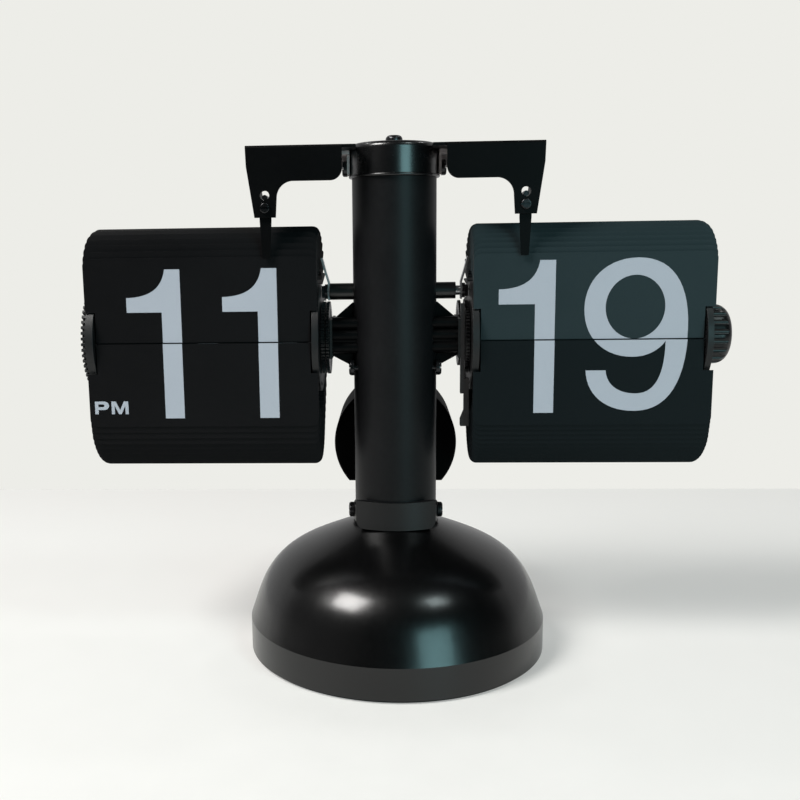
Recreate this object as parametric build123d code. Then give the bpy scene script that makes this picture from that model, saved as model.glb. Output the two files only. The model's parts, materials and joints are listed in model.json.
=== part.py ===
from build123d import *
import math
import os

os.makedirs("parts", exist_ok=True)

# ---------------------------------------------------------------------------
# Driving dimensions, millimetres. X runs along the clock's width, -Y is the
# front, +Z is up. The origin is the centre of the base on the table.
# ---------------------------------------------------------------------------
axle_z = 109.0             # height of the axle that both drums turn on
axle_r = 1.9
axle_x0 = -102.9
axle_x1 = 106.6
clip_x = -102.0            # inner face of the clip on the axle's left end
running_gap = 0.05         # radial clearance of everything that turns on a shaft
fixed_gap = 0.02           # radial clearance of pressed or clamped parts

base_r = 51.5
base_wall_z = 11.7         # height of the straight wall round the base
base_skin = 1.0
foot_h = 1.6               # rubber ring under the base
plate_h = 1.4

column_r = 14.05
column_skin = 1.2
column_bottom = 36.0
column_top = 162.0
collar_r = 14.65
collar_bottom = 44.8
collar_top = 54.4
collar_band_top = 51.0
collar_plate_half = 13.5
collar_bow_r = 24.0         # the plate across the front is gently bowed
collar_screw_z = 48.4
cap_r = 14.6
cap_bottom = 161.7
cap_top = 172.7
cap_screw_z = 165.0
cap_lip_r = 0.5
bracket_x0 = cap_r + fixed_gap
bracket_t = 0.9

pin_r = 16.0               # radius of the ring of flap pivots on each drum
disc_r = 18.2
inner_disc_x = 25.0        # inner face of the inner disc, measured from the centre
inner_disc_t = 2.2
outer_disc_x = 99.2        # inner face of the outer disc
outer_disc_t = 2.0
hour_rim_t = 4.0           # the hour drum's outer disc is a thicker, ribbed rim
hour_rib_count = 60
hub_r = 12.0
hub_skin = 1.5
knob_r = 9.9
knob_x0 = 102.6
knob_x1 = 110.6

flap_len = 27.6
flap_t = 0.32
flap_neck = 10.0           # length of the narrow end that lies between the discs
flap_neck_x0 = 27.7
flap_neck_x1 = 98.7
flap_x0 = 25.3
flap_x1 = 102.0
flap_corner = 2.4
flap_pitch = 0.42          # spacing of the flaps that lie face to face
flap_plane_y = -15.6       # mid-plane of the front flap that stands upright
fallen_flap_y = -16.1      # pivot of the flap that has just fallen
split_gap = 0.2            # half the gap between the upper and lower flap
flap_pin_r = 0.28
flap_pin_root = 0.5        # length of the pin that lies in the flap
flap_pin_reach = 0.25      # length that stands out beyond the neck
minute_flap_count = 60
hour_flap_count = 48
fan_start = 1.0            # pivot angle at which flaps begin to lean back
fan_end = 217.0            # pivot angle from which flaps hang straight down
upper_pack_end = 130.0     # pivot angle that divides the upper and lower pack

gear_module = 0.4
pressure_angle = math.radians(25.0)
gear_backlash = 0.07
addendum = 0.75 * gear_module
dedendum = 1.0 * gear_module
drum_gear_teeth = 60
small_pinion_teeth = 10
minute_pinion_teeth = 14
layshaft_wheel_teeth = 56
shaft_distance = gear_module * (drum_gear_teeth + small_pinion_teeth) / 2
layshaft_y = shaft_distance          # the layshaft runs level with the axle, behind it
layshaft_r = 1.0
motor_z = axle_z - gear_module * (minute_pinion_teeth + small_pinion_teeth) / 2
motor_can_r = 6.6
motor_can_z = motor_z - 6.4          # the motor's can lies below its own output shaft
motor_shaft_r = 0.75

plate_x0 = 21.0            # side plates that carry the shafts
plate_x1 = 21.8
plate_half = 6.5           # half height of a side plate
plate_front_y = -8.0
small_gear_x0 = 22.0       # minute pinion and the layshaft's wheel
small_gear_x1 = 23.1
drum_gear_x0 = 23.3        # drum gears, next to the inner discs
drum_gear_x1 = 24.6
boss_sleeve_r = 5.7
boss_tube_r = 2.0          # three tubes cast in front of the sleeve
boss_tube_y = -4.7
boss_tube_rise = (-2.9, 1.2, 5.2)
web_t = 3.0                # thickness of the web that stiffens each boss
web_high = 10.8            # half height of the web at the column
web_low = 6.2              # half height of the web at the side plate
boss_screw_z = axle_z - 9.8
boss_screw_y = -5.5
tie_rod_z = 124.6
tie_rod_r = 2.8
tie_thread_r = 1.6
tie_sleeve_x0 = -21.9
tie_sleeve_x1 = 20.4
tie_end_x = 24.7

arm_front_y = -18.2        # front face of the sheet-metal arms
arm_sheet = 1.0
arm_back_y = 6.0
arm_top = 171.4
arm_bottom = 160.3
arm_x0 = 16.5
arm_x1 = 47.1
leg_x = 41.2
leg_half = 3.4
leg_bottom = 149.0
finger_tip_z = 136.1
finger_sheet = 0.6
finger_screw_z = 152.0
finger_pin_z = 155.9
finger_pin_r = 0.85
finger_hole_r = 1.5        # the pin hangs low in its oversize hole

housing_z = 69.3
housing_r = 22.0
housing_flat_z = 55.1
housing_front_y = 14.0
housing_seam_y = 31.0
housing_back_y = 50.0
housing_skin = 1.5

battery_r = 7.2
battery_len = 50.2
battery_y = 16.6           # the cell lies behind the middle of the base
battery_z = 11.6
bay_half_x = 28.6
bay_half_y = 7.8
centre_pad_r = 6.0
stay_x = 21.0
stay_y = -2.0


# ---------------------------------------------------------------------------
# Shape helpers
# ---------------------------------------------------------------------------
def block(x0, x1, y0, y1, z0, z1):
    middle = Pos((x0 + x1) / 2, (y0 + y1) / 2, (z0 + z1) / 2)
    return middle * Box(abs(x1 - x0), abs(y1 - y0), abs(z1 - z0))


def rod_x(radius, x0, x1, y=0.0, z=axle_z):
    return Pos((x0 + x1) / 2, y, z) * Rot(0, 90, 0) * Cylinder(radius, abs(x1 - x0))


def rod_y(radius, y0, y1, x, z):
    return Pos(x, (y0 + y1) / 2, z) * Rot(90, 0, 0) * Cylinder(radius, abs(y1 - y0))


def rod_z(radius, z0, z1, x=0.0, y=0.0):
    return Pos(x, y, (z0 + z1) / 2) * Cylinder(radius, abs(z1 - z0))


def mirror_x(shape):
    return mirror(shape, about=Plane.YZ)


def group(shapes):
    """Several separate solids that are one named piece."""
    return Compound(children=list(shapes))


def pair(right):
    """The right-hand piece and its mirror image, as one named piece."""
    return group([mirror_x(right), right])


def pan_head_x(x_seat, side, y, z, radius, height, shank_r, shank_len):
    """A pan-head screw lying along X; side is +1 when the head points to +X."""
    head = rod_x(radius, x_seat, x_seat + side * height, y, z)
    rim = head.edges().filter_by(GeomType.CIRCLE).sort_by(Axis.X)
    head = fillet(rim[-1] if side > 0 else rim[0], 0.45 * height)
    shank = rod_x(shank_r, x_seat - side * shank_len, x_seat + side * 0.1, y, z)
    slot_x = x_seat + side * height
    slot = block(slot_x - 0.5, slot_x + 0.5, y - radius, y + radius, z - 0.35, z + 0.35)
    return head + shank - slot


def pan_head_y(y_seat, side, x, z, radius, height, shank_r, shank_len):
    """A pan-head screw lying along Y; side is -1 when the head points to the front."""
    head = rod_y(radius, y_seat, y_seat + side * height, x, z)
    rim = head.edges().filter_by(GeomType.CIRCLE).sort_by(Axis.Y)
    head = fillet(rim[-1] if side > 0 else rim[0], 0.45 * height)
    shank = rod_y(shank_r, y_seat - side * shank_len, y_seat + side * 0.1, x, z)
    slot_y = y_seat + side * height
    slot = block(x - radius, x + radius, slot_y - 0.5, slot_y + 0.5, z - 0.3, z + 0.3)
    return head + shank - slot


# ---------------------------------------------------------------------------
# Base
# ---------------------------------------------------------------------------
dome_profile = [(49.3, 18.0), (45.8, 26.0), (39.6, 33.0), (29.7, 38.5), (21.4, 42.0), (14.8, 44.7)]


def inward(points, amount):
    """The same profile moved inwards, square to itself, by the skin's thickness."""
    moved = []
    for i, (r, z) in enumerate(points):
        r_before, z_before = points[max(i - 1, 0)]
        r_after, z_after = points[min(i + 1, len(points) - 1)]
        dr = r_after - r_before
        dz = z_after - z_before
        length = math.hypot(dr, dz)
        moved.append((r - amount * dz / length, z + amount * dr / length))
    return moved


def base_dome():
    outer = [(base_r, base_wall_z)] + dome_profile
    inner = inward(outer, base_skin)
    neck_r = column_r + fixed_gap
    inner[-1] = (neck_r, inner[-1][1])
    outer_curve = Spline(*[(r, z) for r, z in outer])
    inner_curve = Spline(*[(r, z) for r, z in inner])
    with_wall = [
        Polyline(inner[0], (base_r - base_skin, inner[0][1]), (base_r - base_skin, foot_h - 0.6),
                 (base_r, foot_h - 0.6), (base_r, base_wall_z)),
        outer_curve,
        Polyline(outer[-1], (neck_r, outer[-1][1]), inner[-1]),
        inner_curve,
    ]
    profile = make_face(with_wall)
    return revolve(Plane.XZ * profile, Axis.Z)


def base_plate():
    plate = rod_z(base_r - base_skin - 0.1, foot_h, foot_h + plate_h)
    plate -= block(-bay_half_x, bay_half_x, battery_y - bay_half_y, battery_y + bay_half_y,
                   foot_h - 1, foot_h + plate_h + 1)
    for side in (-1, 1):
        plate -= rod_z(1.52, foot_h - 1, foot_h + plate_h + 1, side * stay_x, stay_y)
    return plate


def foot_pads():
    """Rubber ring and centre pad that the clock stands on."""
    ring = rod_z(50.2, 0, foot_h) - rod_z(46.4, -1, foot_h + 1)
    return group([ring, rod_z(centre_pad_r, 0, foot_h)])


def base_weight():
    """Iron ring that keeps the clock from tipping."""
    z0 = foot_h + plate_h
    return rod_z(48.5, z0, z0 + 6.0) - rod_z(41.5, z0 - 1, z0 + 7.0)


def battery_box():
    z0 = foot_h + plate_h
    wall = 1.4
    shell = block(-bay_half_x - wall, bay_half_x + wall, battery_y - bay_half_y - wall,
                  battery_y + bay_half_y + wall, z0, z0 + 17.4)
    shell -= block(-bay_half_x, bay_half_x, battery_y - bay_half_y, battery_y + bay_half_y,
                   z0 - 1, z0 + 16.2)
    return shell


def battery_cell():
    body = rod_x(battery_r, -battery_len / 2, battery_len / 2 - 1.2, battery_y, battery_z)
    button = rod_x(2.6, battery_len / 2 - 1.3, battery_len / 2, battery_y, battery_z)
    return body + button


def battery_contacts():
    """Flat contact at one end of the cell and a stepped spring contact at the other."""
    flat_x = battery_len / 2
    flat = block(flat_x + 0.1, flat_x + 0.6, battery_y - 5, battery_y + 5, battery_z - 5, battery_z + 5)
    spring = rod_x(5.0, -bay_half_x, -bay_half_x + 1.0, battery_y, battery_z)
    spring += rod_x(3.4, -bay_half_x + 1.0, -bay_half_x + 2.2, battery_y, battery_z)
    spring += rod_x(2.0, -bay_half_x + 2.2, -battery_len / 2, battery_y, battery_z)
    return group([flat, spring])


def battery_door():
    y0 = battery_y - bay_half_y - 1.2
    y1 = battery_y + bay_half_y + 1.2
    door = block(-bay_half_x - 1.6, bay_half_x + 1.6, y0, y1, 0.35, foot_h - 0.1)
    for i in range(4):
        y = battery_y - 4.5 + 3.0 * i
        door -= block(-9.0, 9.0, y - 0.5, y + 0.5, 0.0, 0.8)
    return door


def stay_rods():
    right = rod_z(1.5, foot_h - 0.1, column_bottom, stay_x, stay_y)
    return pair(right + rod_z(3.0, 0.4, foot_h, stay_x, stay_y))


def column_foot():
    flange = rod_z(24.5, column_bottom - 2.4, column_bottom)
    plug = rod_z(column_r - column_skin - fixed_gap, column_bottom, column_bottom + 12.0)
    foot = flange + plug - rod_z(4.0, column_bottom - 4, column_bottom + 14)
    for side in (-1, 1):
        foot -= rod_z(1.52, column_bottom - 4, column_bottom + 1, side * stay_x, stay_y)
    return foot


# ---------------------------------------------------------------------------
# Column, collar and cap
# ---------------------------------------------------------------------------
def column_tube():
    tube = rod_z(column_r, column_bottom, column_top)
    tube -= rod_z(column_r - column_skin, column_bottom - 1, column_top + 1)
    tube -= rod_x(axle_r + fixed_gap, -20, 20)
    tube -= rod_x(tie_rod_r + fixed_gap, -20, 20, 0, tie_rod_z)
    tube -= rod_x(1.6, 0, 20, 0, motor_z)
    tube -= block(-8, 8, 6, 20, axle_z - 5, axle_z + 5)
    tube -= block(-5, 5, 6, 20, housing_z - 6, housing_z + 6)
    for side in (-1, 1):
        tube -= rod_x(1.02, side * 8, side * 20, boss_screw_y, boss_screw_z)
        tube -= rod_x(1.02, side * 8, side * 20, 0, cap_screw_z)
        tube -= rod_x(1.02, side * 8, side * 20, 0, collar_screw_z)
    return tube


def lower_collar():
    """Low band round the column with a flat plate across its front."""
    band = rod_z(collar_r, collar_bottom + 0.6, collar_band_top)
    plate = block(-collar_plate_half, collar_plate_half, -column_r - 1.2, -column_r + 4.0,
                  collar_bottom, collar_top)
    corners = plate.edges().filter_by(Axis.Y).group_by(Axis.Z)[0]
    plate = fillet(corners, 2.6)
    plate &= rod_z(collar_bow_r, collar_bottom, collar_top, 0, collar_bow_r - column_r - 1.2)
    collar = band + plate - rod_z(column_r + fixed_gap, collar_bottom - 1, collar_top + 1)
    for side in (-1, 1):
        collar -= rod_x(1.02, side * 8, side * 20, 0, collar_screw_z)
    return collar


def column_cap():
    cap = rod_z(cap_r, cap_bottom, cap_top)
    rims = cap.edges().filter_by(GeomType.CIRCLE).sort_by(Axis.Z)
    cap = fillet(rims[-1], 1.8)
    lip = Pos(0, 0, cap_bottom + cap_lip_r) * Torus(cap_r, cap_lip_r)
    cap += lip
    cap -= rod_z(column_r + fixed_gap, cap_bottom - 2, cap_top - 1.2)
    cap -= rod_z(1.52, cap_top - 3, cap_top + 1)
    for side in (-1, 1):
        cap -= rod_x(1.02, side * 8, side * 20, 0, cap_screw_z)
    return cap


def cap_top_screw():
    head = rod_z(2.8, cap_top, cap_top + 2.8)
    rim = head.edges().filter_by(GeomType.CIRCLE).sort_by(Axis.Z)[-1]
    head = fillet(rim, 1.4)
    screw = head + rod_z(1.5, cap_top - 6.0, cap_top + 0.1)
    return screw - block(-3, 3, -0.4, 0.4, cap_top + 2.1, cap_top + 4)


def side_screws(seat_x, z):
    shank_end = column_r - column_skin + 0.1
    right = pan_head_x(seat_x, 1, 0, z, 2.6, 1.7, 1.0, seat_x - shank_end)
    return pair(right)


# ---------------------------------------------------------------------------
# Arms that hold the fingers in front of the flaps
# ---------------------------------------------------------------------------
def arm_front_outline():
    """Right-hand arm seen from the front: X outwards, Z up."""
    leg_in = leg_x - leg_half
    leg_out = leg_x + leg_half
    corner = 3.8
    inset = corner * (1 - math.sqrt(0.5))
    edges = [
        Line((arm_x0, arm_top), (arm_x1, arm_top)),
        Line((arm_x1, arm_top), (arm_x1 - 0.2, arm_top - 6.5)),
        Line((arm_x1 - 0.2, arm_top - 6.5), (leg_out, leg_bottom)),
        Line((leg_out, leg_bottom), (leg_in, leg_bottom)),
        Line((leg_in, leg_bottom), (leg_in - 0.4, arm_bottom - 5.2)),
        ThreePointArc((leg_in - 0.4, arm_bottom - 5.2), (leg_in - 1.9, arm_bottom - 1.6),
                      (leg_in - 5.4, arm_bottom)),
        Line((leg_in - 5.4, arm_bottom), (arm_x0 + corner, arm_bottom)),
        ThreePointArc((arm_x0 + corner, arm_bottom), (arm_x0 + inset, arm_bottom + inset),
                      (arm_x0, arm_bottom + corner)),
        Line((arm_x0, arm_bottom + corner), (arm_x0, arm_top)),
    ]
    return make_face(edges)


def arm_right():
    face = Plane.XZ * arm_front_outline()
    front = Pos(0, arm_front_y + arm_sheet, 0) * extrude(face, arm_sheet)
    top = block(cap_r - 2.4, arm_x1 - 0.8, arm_front_y + arm_sheet, arm_back_y, arm_top - arm_sheet, arm_top)
    top += block(arm_x0, arm_x1 - 0.8, arm_front_y, arm_front_y + arm_sheet + 0.1, arm_top - arm_sheet, arm_top)
    top -= rod_z(cap_r + 0.2, arm_top - 3, arm_top + 3)
    outer = [(arm_x1, arm_top - 1.6), (arm_x1 - 0.2, arm_top - 6.5), (arm_x1 - 1.4, 156.0)]
    flange_face = make_face(Polyline(outer[0], outer[1], outer[2], (outer[2][0] - 1.0, outer[2][1]),
                                     (outer[1][0] - 1.0, outer[1][1]), (outer[0][0] - 1.0, outer[0][1]), outer[0]))
    depth = arm_back_y - arm_front_y - arm_sheet
    flange = Pos(0, arm_back_y, 0) * extrude(Plane.XZ * flange_face, depth + 0.1)
    arm = front + top + flange
    bend = arm.edges().filter_by(Axis.X).group_by(Axis.Z)[-1].sort_by(Axis.Y)[0]
    arm = fillet(bend, 0.9)
    arm -= rod_y(finger_hole_r, arm_front_y - 1, arm_front_y + 2, leg_x, finger_pin_z)
    arm -= rod_y(0.82, arm_front_y - 1, arm_front_y + 2, leg_x, finger_screw_z)
    for y in (-3.0, 3.0):
        arm -= rod_z(0.82, arm_top - 3, arm_top + 1, 20.5, y)
    return arm


def arm_bracket_right():
    """Bare metal bracket between the cap and the arm's top flange, with a plate that faces forward."""
    under_flange = arm_top - arm_sheet
    above_lip = cap_bottom + 2 * cap_lip_r + 0.2
    tab = block(bracket_x0, bracket_x0 + bracket_t, -3.4, 4.0, above_lip, under_flange)
    plate = block(bracket_x0, 19.0, 2.8, 4.0, cap_screw_z + 0.2, under_flange)
    shelf = block(bracket_x0, 24.0, -6.0, 6.0, under_flange - 1.2, under_flange)
    bracket = tab + plate + shelf - rod_z(cap_r + fixed_gap, 150, 180)
    bracket -= rod_x(1.02, 10, 20, 0, cap_screw_z)
    for y in (-3.0, 3.0):
        bracket -= rod_z(0.82, arm_top - 4, arm_top + 1, 20.5, y)
    return bracket


def arm_rivets():
    rivets = []
    for side in (-1, 1):
        for y in (-3.0, 3.0):
            shank = rod_z(0.8, arm_top - arm_sheet - 1.9, arm_top + 0.2, side * 20.5, y)
            head = rod_z(1.5, arm_top, arm_top + 0.6, side * 20.5, y)
            tail = rod_z(1.3, arm_top - arm_sheet - 1.9, arm_top - arm_sheet - 1.2, side * 20.5, y)
            rivets.append(shank + head + tail)
    return group(rivets)


def finger_right():
    """Tapered tongue that holds back the upper front flap."""
    wide = 1.9
    narrow = 1.25
    outline = make_face(Polyline((leg_x - wide, 158.2), (leg_x + wide, 158.2), (leg_x + wide, 148.0),
                                 (leg_x + narrow, finger_tip_z), (leg_x - narrow, finger_tip_z),
                                 (leg_x - wide, 148.0), (leg_x - wide, 158.2)))
    back_y = arm_front_y + arm_sheet + finger_sheet
    tongue = Pos(0, back_y, 0) * extrude(Plane.XZ * outline, finger_sheet)
    tongue -= rod_y(finger_hole_r, back_y - 2, back_y + 1, leg_x, finger_pin_z)
    tongue -= rod_y(0.82, back_y - 2, back_y + 1, leg_x, finger_screw_z)
    return tongue


def finger_block_right():
    """Block behind the arm's leg that the finger is clamped against."""
    y0 = arm_front_y + arm_sheet + finger_sheet
    body = block(leg_x - 2.6, leg_x + 2.6, y0, y0 + 4.0, 149.4, 158.6)
    body -= rod_y(finger_hole_r + 0.4, y0 - 1, y0 + 5, leg_x, finger_pin_z + 0.4)
    body -= rod_y(0.82, y0 - 1, y0 + 5, leg_x, finger_screw_z)
    return body


def finger_screws():
    right = pan_head_y(arm_front_y, -1, leg_x, finger_screw_z, 1.65, 1.0, 0.8, 5.0)
    return pair(right)


def finger_pins():
    pin_z = finger_pin_z - finger_hole_r + finger_pin_r + 0.02
    right = rod_y(finger_pin_r, arm_front_y + 0.2, arm_front_y + 5.0, leg_x, pin_z)
    return pair(right)


# ---------------------------------------------------------------------------
# Fixed frame between the drums
# ---------------------------------------------------------------------------
def axle():
    rod = rod_x(axle_r, axle_x0, axle_x1)
    return chamfer(rod.edges().filter_by(GeomType.CIRCLE), 0.3)


def axle_clip():
    """Push-on ring in the recess of the hour drum, at the axle's left end."""
    return rod_x(4.2, clip_x - 0.8, clip_x) - rod_x(axle_r + 0.01, clip_x - 2, clip_x + 1)


def boss_right():
    """Casting between the column and the right side plate: tubes and a sleeve on an upright web."""
    middle = axle_z + 1.0
    web = make_face(Polyline((10.0, middle - web_high), (14.4, middle - web_high), (plate_x0, axle_z - web_low),
                             (plate_x0, axle_z + web_low), (14.4, middle + web_high), (10.0, middle + web_high),
                             (10.0, middle - web_high)))
    boss = Pos(0, web_t / 2, 0) * extrude(Plane.XZ * web, web_t)
    boss += rod_x(boss_sleeve_r, 8.0, plate_x0)
    for rise in boss_tube_rise:
        boss += rod_x(boss_tube_r, 8.0, plate_x0, boss_tube_y, axle_z + rise)
    boss -= rod_z(column_r + fixed_gap, 80, 140)
    boss -= rod_x(axle_r + fixed_gap, 5, 25)
    boss -= rod_x(2.7, 5, 25, boss_screw_y, boss_screw_z)
    return boss - rod_x(motor_shaft_r + 0.2, 5, 25, 0, motor_z)


def boss_screws():
    return pair(pan_head_x(13.8, 1, boss_screw_y, boss_screw_z, 2.6, 1.7, 1.0, 3.0))


def side_plate(motor_side):
    """Plate that carries the shafts on one side; it lies behind the boss."""
    plate = block(plate_x0, plate_x1, plate_front_y, layshaft_y, axle_z - plate_half, axle_z + plate_half)
    plate += rod_x(plate_half, plate_x0, plate_x1, layshaft_y)
    if motor_side:
        plate -= rod_x(motor_shaft_r + running_gap, 15, 25, 0, motor_z)
    plate -= rod_x(axle_r + fixed_gap, 15, 25)
    plate -= rod_x(layshaft_r + running_gap, 15, 25, layshaft_y)
    return plate


def gear_guard():
    """Upright strip in front of the small gears, with a guard that hangs below and ends in a lug."""
    strip_back = plate_front_y + 3.4
    strip = block(plate_x1, small_gear_x1, plate_front_y, strip_back, 90.5, 120.5)
    guard = make_face(Polyline((small_gear_x1 - 0.1, 95.5), (drum_gear_x1, 95.5), (drum_gear_x1, 79.4),
                               (plate_x1, 79.4), (plate_x1, 81.6), (small_gear_x1 - 0.1, 84.6),
                               (small_gear_x1 - 0.1, 95.5)))
    return strip + Pos(0, strip_back, 0) * extrude(Plane.XZ * guard, 3.4)


def tie_rod():
    """Spacer rod above the axle, with a thinner threaded end on each side."""
    rod = rod_x(tie_rod_r, tie_sleeve_x0, tie_sleeve_x1, 0, tie_rod_z)
    return rod + rod_x(tie_thread_r, -tie_end_x, tie_end_x, 0, tie_rod_z)


def square_nut(x0, x1):
    nut = block(x0, x1, -1.95, 1.95, tie_rod_z - 1.95, tie_rod_z + 1.95)
    nut += rod_x(2.5, x0, (x0 + x1) / 2, 0, tie_rod_z)
    return nut - rod_x(tie_thread_r + fixed_gap, min(x0, x1) - 1, max(x0, x1) + 1, 0, tie_rod_z)


def tie_rod_nuts():
    return group([square_nut(-22.6, -24.6), square_nut(22.6, 24.6)])


def detent_spring_right():
    """Thin strip clamped under the nut of the tie rod, bent towards the flaps' ends."""
    clamp_x = small_gear_x0 + 0.25
    path = [(clamp_x, 122.0), (clamp_x, 127.6), (23.3, 131.0), (24.5, 135.6)]
    strip = make_face(offset(Polyline(*path), amount=0.3, side=Side.BOTH, kind=Kind.ARC))
    spring = Pos(0, 1.8, 0) * extrude(Plane.XZ * strip, 3.6)
    return spring - rod_x(tie_thread_r + fixed_gap, 15, 23, 0, tie_rod_z)


# ---------------------------------------------------------------------------
# Gears
# ---------------------------------------------------------------------------
def involute(angle):
    return math.tan(angle) - angle


def gear_outline(teeth, phase):
    """Closed outline of an involute gear; phase is the angle of one tooth's middle."""
    pitch = gear_module * teeth / 2
    base = pitch * math.cos(pressure_angle)
    root = pitch - dedendum
    tip = pitch + addendum
    half = math.pi / (2 * teeth) - gear_backlash / (2 * pitch) + involute(pressure_angle)
    flank = [max(base, root), (pitch + max(base, root)) / 2, pitch, (pitch + tip) / 2, tip]
    points = []
    for i in range(teeth):
        middle = phase + 2 * math.pi * i / teeth
        rising = []
        for r in flank:
            angle = half - involute(math.acos(min(1.0, base / r)))
            rising.append((r, angle))
        if root < base:
            rising.insert(0, (root, half))
        for r, angle in rising:
            points.append((r * math.cos(middle - angle), r * math.sin(middle - angle)))
        for r, angle in reversed(rising):
            points.append((r * math.cos(middle + angle), r * math.sin(middle + angle)))
    return points


def gear(teeth, phase_deg, x0, x1, y, bore):
    """A spur gear on a shaft along X; the phase runs from +Y towards +Z."""
    points = gear_outline(teeth, math.radians(phase_deg))
    face = make_face(Polyline(*points, close=True))
    wheel = Pos(x0, y, axle_z) * extrude(Plane.YZ * face, x1 - x0)
    if bore > 0:
        wheel -= rod_x(bore, x0 - 1, x1 + 1, y)
    return wheel


def lightened(wheel, x0, x1, y, hole_ring, hole_r, count):
    for i in range(count):
        angle = 2 * math.pi * (i + 0.5) / count
        hole_y = y + hole_ring * math.cos(angle)
        hole_z = axle_z + hole_ring * math.sin(angle)
        wheel -= rod_x(hole_r, x0 - 1, x1 + 1, hole_y, hole_z)
    return wheel


def drum_gear(phase_deg):
    """Gear on a drum's inner disc, on the right-hand side."""
    wheel = gear(drum_gear_teeth, phase_deg, drum_gear_x0, drum_gear_x1, 0, 0)
    wheel += rod_x(6.0, drum_gear_x1 - 0.1, inner_disc_x)
    wheel = lightened(wheel, drum_gear_x0, drum_gear_x1, 0, 8.2, 1.7, 6)
    return wheel - rod_x(axle_r + running_gap, 20, 30)


def minute_index_wheel():
    """Toothed wheel that the minute drum is counted by; nothing meshes with it."""
    return drum_gear(-90.0)


def hour_gear():
    """Double gear on the hour drum; the layshaft drives the rim next to the disc."""
    rim = gear(drum_gear_teeth, 0.0, plate_x1 + 0.12, small_gear_x1 - 0.2, 0, 0)
    rim += rod_x(6.0, small_gear_x1 - 0.3, drum_gear_x0 + 0.1)
    rim = lightened(rim, plate_x1, small_gear_x1, 0, 8.2, 1.7, 6)
    rim -= rod_x(axle_r + running_gap, 20, 30)
    return mirror_x(drum_gear(0.0) + rim)


def minute_pinion():
    pinion = gear(minute_pinion_teeth, 0.0, small_gear_x0, small_gear_x1, 0, 0)
    pinion += rod_x(2.35, small_gear_x1 - 0.1, drum_gear_x0)
    return pinion - rod_x(axle_r + running_gap, 20, 30)


def layshaft():
    """Shaft behind the column, with the small pinion cut in its left end."""
    phase = 180.0 + 180.0 / small_pinion_teeth
    pinion = gear(small_pinion_teeth, phase, -drum_gear_x1 - 0.1, -drum_gear_x0 + 0.1, layshaft_y, 0)
    return rod_x(layshaft_r, -24.7, small_gear_x1, layshaft_y) + pinion


def layshaft_wheel():
    phase = 180.0 + 180.0 / layshaft_wheel_teeth
    x0 = small_gear_x0 + 0.1
    x1 = small_gear_x1 - 0.1
    wheel = gear(layshaft_wheel_teeth, phase, x0, x1, layshaft_y, layshaft_r + fixed_gap)
    return lightened(wheel, x0, x1, layshaft_y, 6.6, 2.2, 5)


def motor_shaft():
    """Output shaft of the motor, with the pinion that drives the minute drum's pinion."""
    x0 = small_gear_x0 + 0.05
    x1 = small_gear_x1 - 0.05
    pinion = Pos(0, 0, motor_z - axle_z) * gear(small_pinion_teeth, 90.0, x0, x1, 0, 0)
    return pinion + rod_x(motor_shaft_r, 9.3, x0 + 0.1, 0, motor_z)


def motor_body():
    """Small geared motor inside the column, below the axle."""
    can = rod_x(motor_can_r, -9.0, 6.0, 0, motor_can_z)
    gearbox = rod_x(motor_can_r, 5.9, 9.0, 0, motor_can_z)
    gearbox += rod_x(2.3, 5.9, 9.2, 0, motor_z)
    return can + gearbox - rod_x(motor_shaft_r + running_gap, 8.0, 10.0, 0, motor_z)


# ---------------------------------------------------------------------------
# Drums
# ---------------------------------------------------------------------------
def flap_disc(x0, x1, holes):
    disc = rod_x(disc_r, x0, x1) - rod_x(axle_r + running_gap, x0 - 1, x1 + 1)
    for i in range(holes):
        angle = 2 * math.pi * (i + 0.5) / holes
        hole_y = pin_r * math.cos(angle)
        hole_z = axle_z + pin_r * math.sin(angle)
        disc -= rod_x(0.5, x0 - 1, x1 + 1, hole_y, hole_z)
    return disc


def hub(x0, x1):
    tube = rod_x(hub_r, x0, x1) - rod_x(hub_r - hub_skin, x0 - 1, x1 + 1)
    return tube


def hour_disc_outer():
    """Thick outer disc of the hour drum; its outer edge is cut into a crown of ribs."""
    x_out = -outer_disc_x - hour_rim_t
    disc = rod_x(disc_r, x_out, -outer_disc_x) - rod_x(axle_r + running_gap, -110, -90)
    disc -= rod_x(5.0, x_out - 1, clip_x + 0.3)
    disc -= rod_x(disc_r - 2.6, x_out - 1, x_out + 1.6) - rod_x(7.0, x_out - 1, x_out + 1.6)
    for i in range(hour_rib_count):
        angle = 360.0 * (i + 0.5) / hour_rib_count
        notch = Pos(x_out + 0.5, disc_r - 0.2, 0) * Box(1.6, 3.0, 0.9)
        disc -= Pos(0, 0, axle_z) * Rot(angle, 0, 0) * notch
    return disc


def minute_disc_outer():
    disc = flap_disc(outer_disc_x, outer_disc_x + outer_disc_t, minute_flap_count)
    neck = rod_x(6.0, outer_disc_x + outer_disc_t - 0.1, knob_x0)
    return disc + neck - rod_x(axle_r + running_gap, 95, 106)


def knob():
    """Setting knob, blind-bored over the end of the axle."""
    body = rod_x(knob_r, knob_x0, knob_x1)
    rims = body.edges().filter_by(GeomType.CIRCLE).sort_by(Axis.X)
    body = fillet(rims[-1], 4.2)
    ribs = 20
    for i in range(ribs):
        angle = 360.0 * (i + 0.5) / ribs
        groove = Pos((knob_x0 + knob_x1) / 2, knob_r + 0.35, 0) * Rot(0, 90, 0) * Cylinder(1.1, 14.0)
        body -= Pos(0, 0, axle_z) * Rot(angle, 0, 0) * groove
    return body - rod_x(axle_r + running_gap, knob_x0 - 1, axle_x1 + 0.5)


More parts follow.
